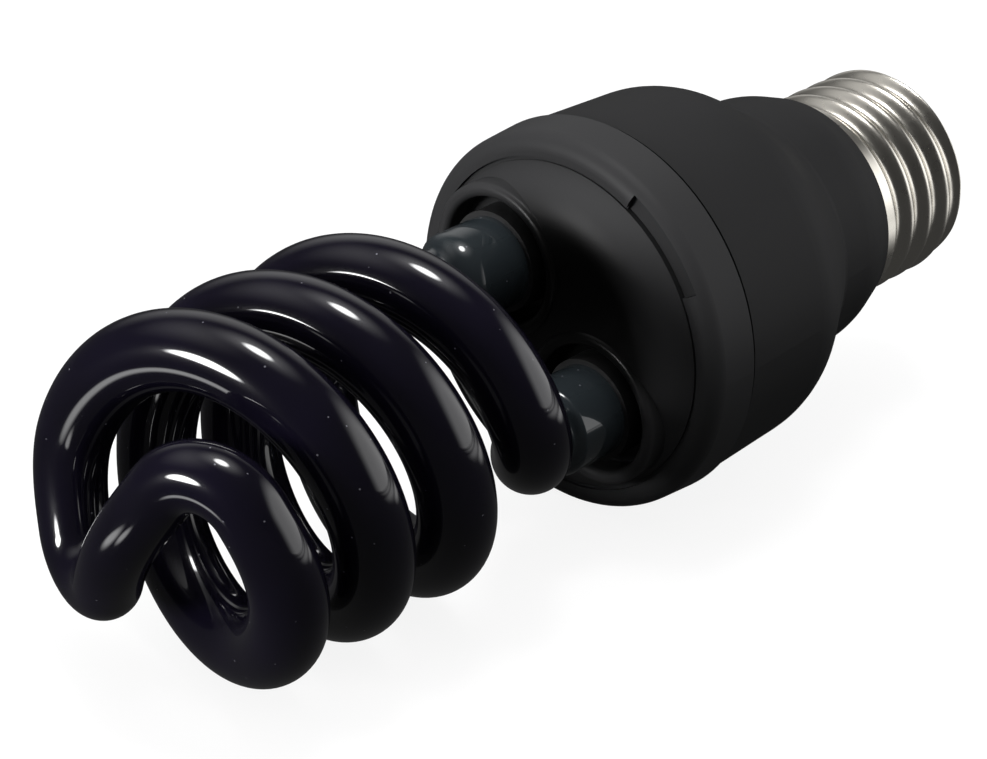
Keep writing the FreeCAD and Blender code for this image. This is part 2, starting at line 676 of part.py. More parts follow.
WINDOW = "choke_height - choke_limb"
core_block = centred_box("core_block", "choke_width", "choke_depth", "choke_height")
core_window = centred_box("core_window", "choke_width - choke_limb", "2 * choke_depth", WINDOW)
core_limb = centred_box("core_limb", "choke_limb", "choke_depth", WINDOW)
core = doc.addObject("Part::Fuse", "choke_core")
core.Base = cut("core_frame", core_block, core_window)
core.Tool = core_limb
keep(core, "choke_core")
SLEEVE_LENGTH = "choke_limb + 2 * bobbin_wall"
SLEEVE_WIDTH = "choke_depth + 2 * bobbin_wall"
sleeve = centred_box("bobbin_sleeve", SLEEVE_LENGTH, SLEEVE_WIDTH, WINDOW)
limb_room = centred_box("bobbin_room", "choke_limb", "choke_depth", WINDOW)
keep(cut("choke_bobbin", sleeve, limb_room), "choke_bobbin")
coil_block = centred_box(
    "winding_block",
    f"{SLEEVE_LENGTH} + 2 * winding_build",
    f"{SLEEVE_WIDTH} + 2 * winding_build",
    f"{WINDOW} - 2 * bobbin_wall",
)
coil_room = centred_box("winding_room", SLEEVE_LENGTH, SLEEVE_WIDTH, WINDOW)
keep(cut("choke_winding", coil_block, coil_room), "choke_winding")

LOOP = "sqrt((ring_radius - ring_bore)^2 + ring_height^2) / 2 + turn_gap + turn_radius"
RING_MIDDLE = f"{UNDERSIDE} - ({LOOP}) - turn_radius"
ring_middle = spot_of("ring") + V(0, 0, size(RING_MIDDLE))
ring_base = ring_middle - V(0, 0, size("ring_height / 2"))
ring_disc = scratch_cylinder("ring_disc", "ring_radius", "ring_height", ring_base)
ring_hole = scratch_cylinder("ring_hole", "ring_bore", "ring_height", ring_base)
keep(cut("drive_ring", ring_disc, ring_hole), "drive_ring")
for number in range(3):
    around = FreeCAD.Rotation(V(0, 0, 1), 90 + 120 * number)
    label = f"drive_winding_{number + 1}"
    loop = doc.addObject("Part::Torus", label)
    bind(loop, Radius1=LOOP, Radius2="turn_radius")
    spot = ring_middle + around.multVec(V(size("(ring_radius + ring_bore) / 2"), 0, 0))
    upright = around.multiply(FreeCAD.Rotation(V(1, 0, 0), 90))
    keep(loop, label, FreeCAD.Placement(spot, upright))

# Cap leads: one down the axis through a fusible resistor to the contact, one at the side to the shell.

FUSE_BASE = "-1 * fuse_top - fuse_length"
cylinder("fusible_resistor", "fuse_radius", "fuse_length", (0, 0), FUSE_BASE)
cylinder("contact_lead_upper", "wire_radius", "board_height + fuse_top", (0, 0), "-1 * fuse_top")
cylinder("contact_lead_lower", "wire_radius", f"{FUSE_BASE} - ({CONTACT_TOP})", (0, 0), CONTACT_TOP)


def shell_lead_shape():
    offset = size(f"{SPIGOT} - housing_wall - wire_radius - wire_room")
    bend = size("lead_bend")
    end = -size("spigot_length + lead_drop")
    top = V(offset, 0, size("board_height"))
    turn_start = V(offset, 0, end + bend)
    turn_middle = V(offset + bend * (1 - math.sqrt(0.5)), 0, end + bend * (1 - math.sqrt(0.5)))
    turn_end = V(offset + bend, 0, end)
    wall = V(size(SHELL_BORE), 0, end)
    path = Part.Wire(
        [
            Part.LineSegment(top, turn_start).toShape(),
            Part.Arc(turn_start, turn_middle, turn_end).toShape(),
            Part.LineSegment(turn_end, wall).toShape(),
        ]
    )
    ring = Part.Circle(top, V(0, 0, 1), size("wire_radius"))
    return path.makePipeShell([Part.Wire(ring.toShape())], True, False)


shell_lead = keep(doc.addObject("Part::Feature", "shell_lead"), "shell_lead")
shell_lead.Shape = shell_lead_shape()

# Rest: the lamp lies on the cover's rear edge and on the first turn that crosses its underside.


def resting_place():
    start_radius = size("coil_radius - tip_pull")
    run = math.sqrt(start_radius**2 - 2 * start_radius * size("tip_bend"))
    lean = math.degrees(math.atan2(size("tip_bend"), run))
    underside = -90
    first_crossing = (size("tip_angle") - lean - underside) % 180
    turn_height = size(f"{TIP_HEIGHT} - tip_fall") - size(COIL_PITCH) * first_crossing / 360
    drop = size(f"{COVER_RADIUS} - coil_radius - tube_radius")
    tilt = math.atan2(drop, turn_height - size("parting_height"))
    ahead = V(-math.cos(tilt), 0, -math.sin(tilt))
    upward = V(-math.sin(tilt), 0, math.cos(tilt))
    lift = size(COVER_RADIUS) * math.cos(tilt) + size("parting_height") * math.sin(tilt)
    ends = size(f"{TIP_HEIGHT} + tube_radius") + size(f"{CONTACT_TOP} - contact_height - solder_height")
    centre = V(ends / 2 * math.cos(tilt), 0, lift)
    return FreeCAD.Placement(centre, FreeCAD.Rotation(upward.cross(ahead), upward, ahead, "ZYX"))


laid = resting_place()
doc.recompute()
for piece, place in pieces:
    piece.Placement = laid.multiply(place)
doc.recompute()

faulty = [item.Label for item in doc.Objects if {"Invalid", "Error"} & set(item.State)]
faulty += [piece.Label for piece, place in pieces if piece.Shape.isNull() or not piece.Shape.isValid()]
if faulty:
    raise RuntimeError(f"pieces that failed: {', '.join(faulty)}")

os.makedirs("parts", exist_ok=True)
for piece, place in pieces:
    piece.Shape.exportStep(f"parts/{piece.Label}.step")
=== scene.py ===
import math

import bpy
from mathutils import Matrix, Quaternion, Vector


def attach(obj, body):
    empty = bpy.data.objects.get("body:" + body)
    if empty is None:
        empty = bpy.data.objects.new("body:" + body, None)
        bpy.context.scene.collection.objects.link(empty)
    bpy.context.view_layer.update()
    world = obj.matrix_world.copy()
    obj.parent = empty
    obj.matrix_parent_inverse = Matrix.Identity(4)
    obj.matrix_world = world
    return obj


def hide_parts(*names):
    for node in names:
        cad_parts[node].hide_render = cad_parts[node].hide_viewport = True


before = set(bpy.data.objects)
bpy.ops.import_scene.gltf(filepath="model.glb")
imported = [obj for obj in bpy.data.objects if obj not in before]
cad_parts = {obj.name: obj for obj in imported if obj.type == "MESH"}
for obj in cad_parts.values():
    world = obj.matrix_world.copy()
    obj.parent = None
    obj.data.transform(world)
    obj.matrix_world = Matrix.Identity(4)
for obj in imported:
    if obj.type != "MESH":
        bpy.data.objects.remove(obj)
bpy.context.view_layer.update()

# Spiral tube: one length of violet-black filter glass, softened by flame and wound on a former as two arms.
# Each arm ends in a straight leg, which widens to the end that holds its electrode.
# The legs stand in the two sockets of the cover and are bonded there.

tube_radius = 4.25
tip_radius = 3.6
arm_start_radius = 3.8
tip_top = 110.98
tip_bend = 5.3
tip_heading = math.radians(237)
coil_reach = 20.5
drawn_in = 1.1
drawn_in_span = math.radians(40)
swelling_span = math.radians(70)
turn_start = 102.5
turn_pitch = 24.0
winding = math.radians(548)
turn_handle = 10
leg_handle = 8
leg_heading = math.radians(317.4)
leg_reach = 10
leg_top = 52
leg_foot = 34
end_radius = 5.5
end_round = 2.4
end_top = 54.5

arm_start = coil_reach - drawn_in - arm_start_radius
tip_run = math.sqrt(arm_start**2 - 2 * arm_start * tip_bend)
tip_lean = math.atan2(tip_bend, tip_run)

# The lamp's own axes start where housing and screw shell meet, with z toward the tip, a little downhill.
tilt = math.radians(2.4902)
shell_seat = (0.0425598, 0, 0.0246011)
lamp = Matrix.Translation(shell_seat) @ Matrix(
    (
        (0, -math.sin(tilt), -math.cos(tilt), 0),
        (-1, 0, 0, 0),
        (0, math.cos(tilt), -math.sin(tilt), 0),
        (0, 0, 0, 1),
    )
)


def linear(code):
    """Linear colour of an sRGB hex value."""
    shares = [int(code[start : start + 2], 16) / 255 for start in (1, 3, 5)]
    return [s / 12.92 if s <= 0.04045 else ((s + 0.055) / 1.055) ** 2.4 for s in shares] + [1]


def add(tree, kind, inputs=None, **settings):
    """New shader node; an input is a value, or an output of another node that is linked to it."""
    made = tree.nodes.new(kind)
    for name, value in settings.items():
        setattr(made, name, value)
    for name, value in (inputs or {}).items():
        if isinstance(value, bpy.types.NodeSocket):
            tree.links.new(value, made.inputs[name])
        else:
            made.inputs[name].default_value = value
    return made


def new_finish(name):
    """New material with its tree, its surface shader and its coordinates in metres."""
    made = bpy.data.materials.new(name)
    made.use_nodes = True
    tree = made.node_tree
    surface = tree.nodes["Principled BSDF"]
    place = add(tree, "ShaderNodeTexCoord").outputs["Object"]
    return made, tree, surface, place


def per_metre(millimetres):
    """Pattern scale for a grain of the given size."""
    return 1000 / millimetres


def solid(name, points, faces):
    """Smooth-shaded mesh object from points in millimetres along the lamp's own axes."""
    mesh = bpy.data.meshes.new(name)
    mesh.from_pydata([lamp @ (Vector(point) * 0.001) for point in points], [], faces)
    mesh.shade_smooth()
    made = bpy.data.objects.new(name, mesh)
    bpy.context.scene.collection.objects.link(made)
    return made


def eased(share):
    """Smooth step from 0 to 1."""
    share = min(max(share, 0), 1)
    return share * share * (3 - 2 * share)


def tip_line(steps=60):
    """Middles and radii of half the tip: straight out, then round the bend into the first turn."""
    top = tip_top - tip_radius
    length = tip_run + tip_bend * (math.pi / 2 + tip_lean)
    slope = turn_pitch / (2 * math.pi * arm_start)
    fall = top - turn_start
    outward = Vector((math.cos(tip_heading), math.sin(tip_heading), 0))
    sideways = Vector((outward.y, -outward.x, 0))
    line = []
    for step in range(steps):
        along = length * step / steps
        share = along / length
        drop = (3 * fall - slope * length) * share**2 + (slope * length - 2 * fall) * share**3
        around = max(along - tip_run, 0) / tip_bend
        middle = outward * (min(along, tip_run) + tip_bend * math.sin(around))
        middle += sideways * (tip_bend - tip_bend * math.cos(around)) + Vector((0, 0, top - drop))
        line.append((middle, tip_radius + (arm_start_radius - tip_radius) * share**2))
    return line


def turn_line(steps=320):
    """Middles and radii of one arm's turns; the first is drawn in a little and swells to the full tube."""
    line = []
    for step in range(steps + 1):
        angle = winding * step / steps
        radius = arm_start_radius + (tube_radius - arm_start_radius) * eased(angle / swelling_span)
        reach = coil_reach - drawn_in * (1 - eased(angle / drawn_in_span)) - radius
        around = tip_heading - tip_lean - angle
        height = turn_start - turn_pitch * angle / (2 * math.pi)
        line.append((Vector((reach * math.cos(around), reach * math.sin(around), height)), radius))
    return line


def leg_line(last, heading, bend_steps=96, leg_steps=6):
    """Middles and radii of the bend from the last turn into the leg, and of the leg with its wider end."""
    leg_start = Vector((leg_reach * math.cos(leg_heading), leg_reach * math.sin(leg_heading), leg_top))
    poles = last, last + heading * turn_handle, leg_start + Vector((0, 0, leg_handle)), leg_start
    middles = []
    for step in range(1, bend_steps + 1):
        s = step / bend_steps
        weights = (1 - s) ** 3, 3 * s * (1 - s) ** 2, 3 * s**2 * (1 - s), s**3
        middles.append(sum((pole * weight for pole, weight in zip(poles, weights)), Vector()))
    for step in range(1, leg_steps + 1):
        middles.append(leg_start + Vector((0, 0, (leg_foot - leg_top) * step / leg_steps)))
    line = []
    for middle in middles:
        depth = min(max(end_top - middle.z, 0), end_round)
        shoulder = end_radius - end_round + math.sqrt(end_round**2 - (end_round - depth) ** 2)
        line.append((middle, max(tube_radius, shoulder)))
    return line


def swept(name, line, sides):
    """Round tube along a line of points with their radii, closed at both ends."""
    points, faces = [], []
    middles = [middle for middle, radius in line]
    across = (middles[1] - middles[0]).orthogonal().normalized()
    for step, (middle, radius) in enumerate(line):
        ahead = (middles[min(step + 1, len(line) - 1)] - middles[max(step - 1, 0)]).normalized()
        across = (across - ahead * across.dot(ahead)).normalized()
        other = ahead.cross(across)
        for side in range(sides):
            angle = 2 * math.pi * side / sides
            points.append(middle + (across * math.cos(angle) + other * math.sin(angle)) * radius)
    for step in range(len(line) - 1):
        for side in range(sides):
            after = (side + 1) % sides
            low, high = step * sides, (step + 1) * sides
            faces.append((low + side, low + after, high + after, high + side))
    faces.append(tuple(reversed(range(sides))))
    faces.append(tuple(range((len(line) - 1) * sides, len(line) * sides)))
    return solid(name, points, faces)


turns = turn_line()
last_middle = turns[-1][0]
last_heading = (last_middle - turns[-2][0]).normalized()
first_arm = tip_line() + turns + leg_line(last_middle, last_heading)
second_arm = [(Vector((-middle.x, -middle.y, middle.z)), radius) for middle, radius in first_arm]
glass_tube = swept("glass_tube", list(reversed(second_arm))[:-1] + first_arm, sides=64)

# Fire-polished glass is black with a trace of violet and mirrors the lamps sharply.
# A faint film adds a soft sheen, a few specks of dust lie on it, and the legs' paler smoke grey is a painted
# reflection.
filter_glass, tree, surface, place = new_finish("fire_polished_filter_glass")
draw = add(tree, "ShaderNodeTexNoise", {"Vector": place, "Scale": per_metre(9), "Detail": 1.0})
film = add(tree, "ShaderNodeTexNoise", {"Vector": place, "Scale": per_metre(2.5), "Detail": 4.0})
haze = add(tree, "ShaderNodeMapRange", {"Value": film.outputs["Fac"], "To Min": 0.01, "To Max": 0.04})
bump = add(tree, "ShaderNodeBump", {"Strength": 0.05, "Distance": 0.0002, "Height": draw.outputs["Fac"]})
violet = {"Factor": draw.outputs["Fac"], "A": linear("#08070d"), "B": linear("#0f0c1a")}
tint = add(tree, "ShaderNodeMix", violet, data_type="RGBA")
# The legs, next to the cover, get a paler grey that is a painted reflection.
tipward = (-math.cos(tilt), 0, -math.sin(tilt))
along = add(tree, "ShaderNodeVectorMath", {0: place, 1: tipward}, operation="DOT_PRODUCT")
legs = {"Value": along.outputs["Value"], "From Min": 0.010, "From Max": 0.016, "To Min": 1.0, "To Max": 0.0}
legs_painted_reflection = add(tree, "ShaderNodeMapRange", legs)
painted_reflection_grey = {"Factor": legs_painted_reflection.outputs["Result"], "A": tint.outputs["Result"], "B": linear("#22272a")}
clean = add(tree, "ShaderNodeMix", painted_reflection_grey, data_type="RGBA")
dust = add(tree, "ShaderNodeTexVoronoi", {"Vector": place, "Scale": per_metre(2.2)})
specks = {"Value": dust.outputs["Distance"], "From Min": 0.03, "From Max": 0.06, "To Min": 0.7, "To Max": 0.0}
at_specks = add(tree, "ShaderNodeMapRange", specks)
grey = {"Factor": at_specks.outputs["Result"], "A": clean.outputs["Result"], "B": linear("#73737a")}
dusty = add(tree, "ShaderNodeMix", grey, data_type="RGBA")
tree.links.new(dusty.outputs["Result"], surface.inputs["Base Color"])
tree.links.new(haze.outputs["Result"], surface.inputs["Roughness"])
tree.links.new(bump.outputs["Normal"], surface.inputs["Normal"])
surface.inputs["Coat Weight"].default_value = 0.12
surface.inputs["Coat Roughness"].default_value = 0.25
glass_tube.data.materials.append(filter_glass)
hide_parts("spiral_tube")
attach(glass_tube, "root")

# Ballast housing: black flame-resistant plastic, injection moulded as a cup that the cover snaps into.
# The mould is finely spark-eroded, which gives an even satin black.
# Its grain is drawn at a quarter millimetre, coarser than the real one so that it shows.

housing_plastic, tree, surface, place = new_finish("spark_eroded_black_plastic")
grain = add(tree, "ShaderNodeTexNoise", {"Vector": place, "Scale": per_metre(0.25), "Detail": 2.0})
cloud = add(tree, "ShaderNodeTexNoise", {"Vector": place, "Scale": per_metre(16), "Detail": 3.0})
satin = add(tree, "ShaderNodeMapRange", {"Value": cloud.outputs["Fac"], "To Min": 0.6, "To Max": 0.7})
bump = add(tree, "ShaderNodeBump", {"Strength": 0.1, "Distance": 0.00005, "Height": grain.outputs["Fac"]})
black = {"Factor": cloud.outputs["Fac"], "A": linear("#1b1b1c"), "B": linear("#202021")}
shade = add(tree, "ShaderNodeMix", black, data_type="RGBA")
tree.links.new(shade.outputs["Result"], surface.inputs["Base Color"])
tree.links.new(satin.outputs["Result"], surface.inputs["Roughness"])
tree.links.new(bump.outputs["Normal"], surface.inputs["Normal"])
surface.inputs["Specular IOR Level"].default_value = 0.15


def dress(material, *names):
    """Give CAD pieces their finish."""
    for name in names:
        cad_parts[name].material_slots[0].material = material


dress(housing_plastic, "ballast_housing")

# Tube cover: the same plastic, moulded as a dome with a rounded rim and two leg sockets.
# It snaps into the housing with two latches.
# The rim is spark-eroded and the dome polished; the rim's lighter grey is painted light, and the dome's deep
# black is painted shade.

dome_reach = 0.02
cover_plastic, tree, surface, place = new_finish("black_plastic_with_painted_lit_rim_and_shaded_dome")
grain = add(tree, "ShaderNodeTexNoise", {"Vector": place, "Scale": per_metre(0.25), "Detail": 2.0})
bump = add(tree, "ShaderNodeBump", {"Strength": 0.1, "Distance": 0.00005, "Height": grain.outputs["Fac"]})
across = (1, dome_reach, dome_reach)
axis = {"Vector": place, "Location": shell_seat, "Rotation": (0, -tilt, 0), "Scale": across}
out = add(tree, "ShaderNodeMapping", axis, vector_type="TEXTURE")
inward = add(tree, "ShaderNodeTexGradient", {"Vector": out.outputs["Vector"]}, gradient_type="SPHERICAL")
dome_polish_and_shade = {"Value": inward.outputs["Fac"], "From Min": 0.1, "From Max": 0.35}
polished_and_shaded_dome = add(tree, "ShaderNodeMapRange", dome_polish_and_shade, interpolation_type="SMOOTHSTEP").outputs["Result"]
# Painted light and shade: the rim's grey is lighter and the dome's black darker than the plastic's own
# colour.
black = {"Factor": polished_and_shaded_dome, "A": linear("#2a2a2b"), "B": linear("#080808")}
shade = add(tree, "ShaderNodeMix", black, data_type="RGBA")
satin = add(tree, "ShaderNodeMapRange", {"Value": polished_and_shaded_dome, "To Min": 0.55, "To Max": 0.3})
tree.links.new(shade.outputs["Result"], surface.inputs["Base Color"])
tree.links.new(satin.outputs["Result"], surface.inputs["Roughness"])
tree.links.new(bump.outputs["Normal"], surface.inputs["Normal"])
surface.inputs["Specular IOR Level"].default_value = 0.15
dress(cover_plastic, "tube_cover")

# Seals: a ring of black silicone poured into each socket, which bonds the leg to the cover.
# Cured silicone is dull and slightly uneven where it crept up the glass.

silicone, tree, surface, place = new_finish("cured_black_silicone")
creep = add(tree, "ShaderNodeTexNoise", {"Vector": place, "Scale": per_metre(1.5), "Detail": 2.0})
dull = add(tree, "ShaderNodeMapRange", {"Value": creep.outputs["Fac"], "To Min": 0.55, "To Max": 0.75})
bump = add(tree, "ShaderNodeBump", {"Strength": 0.3, "Distance": 0.0002, "Height": creep.outputs["Fac"]})
pigment = {"Factor": creep.outputs["Fac"], "A": linear("#0d0d0e"), "B": linear("#131314")}
shade = add(tree, "ShaderNodeMix", pigment, data_type="RGBA")
tree.links.new(shade.outputs["Result"], surface.inputs["Base Color"])
tree.links.new(dull.outputs["Result"], surface.inputs["Roughness"])
tree.links.new(bump.outputs["Normal"], surface.inputs["Normal"])
dress(silicone, "tube_seal_1", "tube_seal_2")

# Screw shell: thin brass sheet, drawn to a cup and pressed onto the housing's neck.
# The E27 knuckle thread is rolled into it, and its end is turned in round the insulator.
# It is plated with nickel, a warm grey that mirrors softly, with faint rub marks of about a millimetre.

crest = 13.05
groove_depth = 0.95
thread_pitch = 3.629
thread_start = -3.0
groove_run_in = math.pi / 3
bore = 11.75
shell_end = -18.8
taper = 2.2
mouth = 10.4
lip = 9.7
lip_sheet = 0.35


def thread_radius(angle, height):
    """Radius of the shell's outside; the groove fades in over a sixth of a turn."""
    wound = (math.pi - angle) % (2 * math.pi)
    turn = (thread_start - thread_pitch * wound / (2 * math.pi) - height) / thread_pitch
    nearest = max(round(turn), 0)
    away = min(abs(turn - nearest), 0.5)
    fade = eased((wound + 2 * math.pi * nearest) / groove_run_in)
    groove = groove_depth * (0.5 + 0.5 * math.cos(2 * math.pi * away)) * fade
    tapered = max(shell_end + taper - height, 0) / taper
    return min(crest - groove, crest - (crest - mouth) * tapered)


def screw_shell_mesh(sides=192, rows=150):
    """Threaded outside, the turned-in lip and the plain bore, as one closed skin."""
    rings = [(None, shell_end * row / rows) for row in range(rows + 1)]
    rings += [(lip, shell_end), (lip, shell_end + lip_sheet), (bore, shell_end + taper), (bore, 0)]
    points, faces = [], []
    for radius, height in rings:
        for side in range(sides):
            angle = 2 * math.pi * side / sides
            reach = thread_radius(angle, height) if radius is None else radius
            points.append((reach * math.cos(angle), reach * math.sin(angle), height))
    for ring in range(len(rings)):
        following = (ring + 1) % len(rings)
        for side in range(sides):
            after = (side + 1) % sides
            low, high = ring * sides, following * sides
            faces.append((low + side, high + side, high + after, low + after))
    return solid("threaded_shell", points, faces)


threaded_shell = screw_shell_mesh()
nickel, tree, surface, place = new_finish("satin_nickel_plating")
rub = add(tree, "ShaderNodeTexNoise", {"Vector": place, "Scale": per_metre(1.1), "Detail": 4.0})
shine = add(tree, "ShaderNodeMapRange", {"Value": rub.outputs["Fac"], "To Min": 0.24, "To Max": 0.34})
tree.links.new(shine.outputs["Result"], surface.inputs["Roughness"])
surface.inputs["Base Color"].default_value = linear("#dcd8cf")
surface.inputs["Metallic"].default_value = 1
threaded_shell.data.materials.append(nickel)
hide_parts("screw_shell")
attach(threaded_shell, "root")

# Cap insulator: a cone of black glass, melted into the shell's end round the contact.
# It sets with a smooth skin, rippled over about two millimetres where it flowed.

black_glass, tree, surface, place = new_finish("fused_black_glass")
flow = add(tree, "ShaderNodeTexNoise", {"Vector": place, "Scale": per_metre(2), "Detail": 2.0})
gloss = add(tree, "ShaderNodeMapRange", {"Value": flow.outputs["Fac"], "To Min": 0.08, "To Max": 0.22})
bump = add(tree, "ShaderNodeBump", {"Strength": 0.2, "Distance": 0.0001, "Height": flow.outputs["Fac"]})
pitch_black = {"Factor": flow.outputs["Fac"], "A": linear("#0a0a0b"), "B": linear("#161517")}
shade = add(tree, "ShaderNodeMix", pitch_black, data_type="RGBA")
tree.links.new(shade.outputs["Result"], surface.inputs["Base Color"])
tree.links.new(gloss.outputs["Result"], surface.inputs["Roughness"])
tree.links.new(bump.outputs["Normal"], surface.inputs["Normal"])
dress(black_glass, "cap_insulator")

# Centre contact: a pressed brass disc with the drop of solder that closes the hole for its lead.
# Tin and solder leave a soft grey shine with duller patches of about a millimetre.

tinned_brass, tree, surface, place = new_finish("tinned_brass_with_solder")
patch = add(tree, "ShaderNodeTexNoise", {"Vector": place, "Scale": per_metre(1), "Detail": 3.0})
shine = add(tree, "ShaderNodeMapRange", {"Value": patch.outputs["Fac"], "To Min": 0.25, "To Max": 0.5})
bump = add(tree, "ShaderNodeBump", {"Strength": 0.15, "Distance": 0.0001, "Height": patch.outputs["Fac"]})
tin = {"Factor": patch.outputs["Fac"], "A": linear("#c9c2b0"), "B": linear("#b9b6b0")}
shade = add(tree, "ShaderNodeMix", tin, data_type="RGBA")
tree.links.new(shade.outputs["Result"], surface.inputs["Base Color"])
tree.links.new(shine.outputs["Result"], surface.inputs["Roughness"])
tree.links.new(bump.outputs["Normal"], surface.inputs["Normal"])
surface.inputs["Metallic"].default_value = 1
dress(tinned_brass, "centre_contact")

# Circuit board: sawn from brown paper-phenolic laminate, resting on the housing's ledge.
# Paper fibres a few millimetres long streak it lengthwise.

laminate, tree, surface, place = new_finish("paper_phenolic_laminate")
lengthwise = add(tree, "ShaderNodeMapping", {"Vector": place, "Scale": (1, 6, 1)})
paper_fibre = {"Vector": lengthwise.outputs["Vector"], "Scale": per_metre(3), "Detail": 4.0}
fibre = add(tree, "ShaderNodeTexNoise", paper_fibre)
resin = {"Factor": fibre.outputs["Fac"], "A": linear("#8a5d30"), "B": linear("#a9783f")}
shade = add(tree, "ShaderNodeMix", resin, data_type="RGBA")
matt = add(tree, "ShaderNodeMapRange", {"Value": fibre.outputs["Fac"], "To Min": 0.45, "To Max": 0.65})
tree.links.new(shade.outputs["Result"], surface.inputs["Base Color"])
tree.links.new(matt.outputs["Result"], surface.inputs["Roughness"])
dress(laminate, "circuit_board")

# Storage capacitor: an aluminium can in a shrunk plastic sleeve, soldered to the board.
# The sleeve is glossy blue-black, with slack waves of about four millimetres.

sleeve, tree, surface, place = new_finish("shrunk_plastic_sleeve")
slack = add(tree, "ShaderNodeTexNoise", {"Vector": place, "Scale": per_metre(4), "Detail": 1.0})
bump = add(tree, "ShaderNodeBump", {"Strength": 0.2, "Distance": 0.0002, "Height": slack.outputs["Fac"]})
blue_black = {"Factor": slack.outputs["Fac"], "A": linear("#16171f"), "B": linear("#1f2029")}
shade = add(tree, "ShaderNodeMix", blue_black, data_type="RGBA")
tree.links.new(shade.outputs["Result"], surface.inputs["Base Color"])
tree.links.new(bump.outputs["Normal"], surface.inputs["Normal"])
surface.inputs["Roughness"].default_value = 0.25
dress(sleeve, "storage_capacitor")

# Film capacitors: wound metallised film, dipped in red-brown epoxy and soldered to the board.
# The epoxy runs before it sets, which leaves a glossy coat with waves of about two millimetres.

dipped, tree, surface, place = new_finish("dipped_red_epoxy")
runs = add(tree, "ShaderNodeTexNoise", {"Vector": place, "Scale": per_metre(2), "Detail": 2.0})
bump = add(tree, "ShaderNodeBump", {"Strength": 0.25, "Distance": 0.0002, "Height": runs.outputs["Fac"]})
red = {"Factor": runs.outputs["Fac"], "A": linear("#8c3a22"), "B": linear("#a8482b")}
shade = add(tree, "ShaderNodeMix", red, data_type="RGBA")
tree.links.new(shade.outputs["Result"], surface.inputs["Base Color"])
tree.links.new(bump.outputs["Normal"], surface.inputs["Normal"])
surface.inputs["Roughness"].default_value = 0.2
dress(dipped, "resonant_capacitor", "blocking_capacitor")

# Transistors and rectifier diodes: black epoxy moulded round the chip, soldered to the board.
# The mould leaves a dull grain, drawn at 0.2 mm, coarser than the real one so that it shows.

moulded, tree, surface, place = new_finish("moulded_black_epoxy")
grain = add(tree, "ShaderNodeTexNoise", {"Vector": place, "Scale": per_metre(0.2), "Detail": 2.0})
bump = add(tree, "ShaderNodeBump", {"Strength": 0.15, "Distance": 0.00005, "Height": grain.outputs["Fac"]})
soot = {"Factor": grain.outputs["Fac"], "A": linear("#232323"), "B": linear("#2c2c2c")}
shade = add(tree, "ShaderNodeMix", soot, data_type="RGBA")
tree.links.new(shade.outputs["Result"], surface.inputs["Base Color"])
tree.links.new(bump.outputs["Normal"], surface.inputs["Normal"])
surface.inputs["Roughness"].default_value = 0.6
dress(moulded, "transistor_1", "transistor_2", *(f"rectifier_diode_{number}" for number in range(1, 5)))

# Resistors: ceramic rods with a resistive film under a coat of tan lacquer, soldered to the board.
# The lacquer is glossy and thicker in patches of about a millimetre.

lacquer, tree, surface, place = new_finish("tan_resistor_lacquer")
coat = add(tree, "ShaderNodeTexNoise", {"Vector": place, "Scale": per_metre(1), "Detail": 2.0})
tan = {"Factor": coat.outputs["Fac"], "A": linear("#b7a078"), "B": linear("#c8b48c")}
shade = add(tree, "ShaderNodeMix", tan, data_type="RGBA")
wet = add(tree, "ShaderNodeMapRange", {"Value": coat.outputs["Fac"], "To Min": 0.2, "To Max": 0.35})
tree.links.new(shade.outputs["Result"], surface.inputs["Base Color"])
tree.links.new(wet.outputs["Result"], surface.inputs["Roughness"])
dress(lacquer, "resistor_1", "resistor_2", "fusible_resistor")

# Choke core and drive ring: ferrite, pressed from powder and sintered, glued to the board.
# It is a dark grey ceramic, with a grain drawn at 0.3 mm, coarser than the real one so that it shows.

ferrite, tree, surface, place = new_finish("sintered_ferrite")
grain = add(tree, "ShaderNodeTexNoise", {"Vector": place, "Scale": per_metre(0.3), "Detail": 3.0})
bump = add(tree, "ShaderNodeBump", {"Strength": 0.2, "Distance": 0.00005, "Height": grain.outputs["Fac"]})
dark_grey = {"Factor": grain.outputs["Fac"], "A": linear("#38383a"), "B": linear("#48484b")}
shade = add(tree, "ShaderNodeMix", dark_grey, data_type="RGBA")
tree.links.new(shade.outputs["Result"], surface.inputs["Base Color"])
tree.links.new(bump.outputs["Normal"], surface.inputs["Normal"])
surface.inputs["Roughness"].default_value = 0.5
dress(ferrite, "choke_core", "drive_ring")

# Choke bobbin: moulded from off-white polyester, pushed onto the core.
# Faint flow clouds of about five millimetres show in its satin skin.

polyester, tree, surface, place = new_finish("off_white_polyester")
cloud = add(tree, "ShaderNodeTexNoise", {"Vector": place, "Scale": per_metre(5), "Detail": 2.0})
cream = {"Factor": cloud.outputs["Fac"], "A": linear("#d6d5cd"), "B": linear("#dedcd4")}
shade = add(tree, "ShaderNodeMix", cream, data_type="RGBA")
satin = add(tree, "ShaderNodeMapRange", {"Value": cloud.outputs["Fac"], "To Min": 0.4, "To Max": 0.5})
tree.links.new(shade.outputs["Result"], surface.inputs["Base Color"])
tree.links.new(satin.outputs["Result"], surface.inputs["Roughness"])
dress(polyester, "choke_bobbin")

# Windings: copper wire in clear enamel, wound on the bobbin and through the drive ring.
# The enamel gives the copper a red-brown gloss, darker in patches of about half a millimetre.

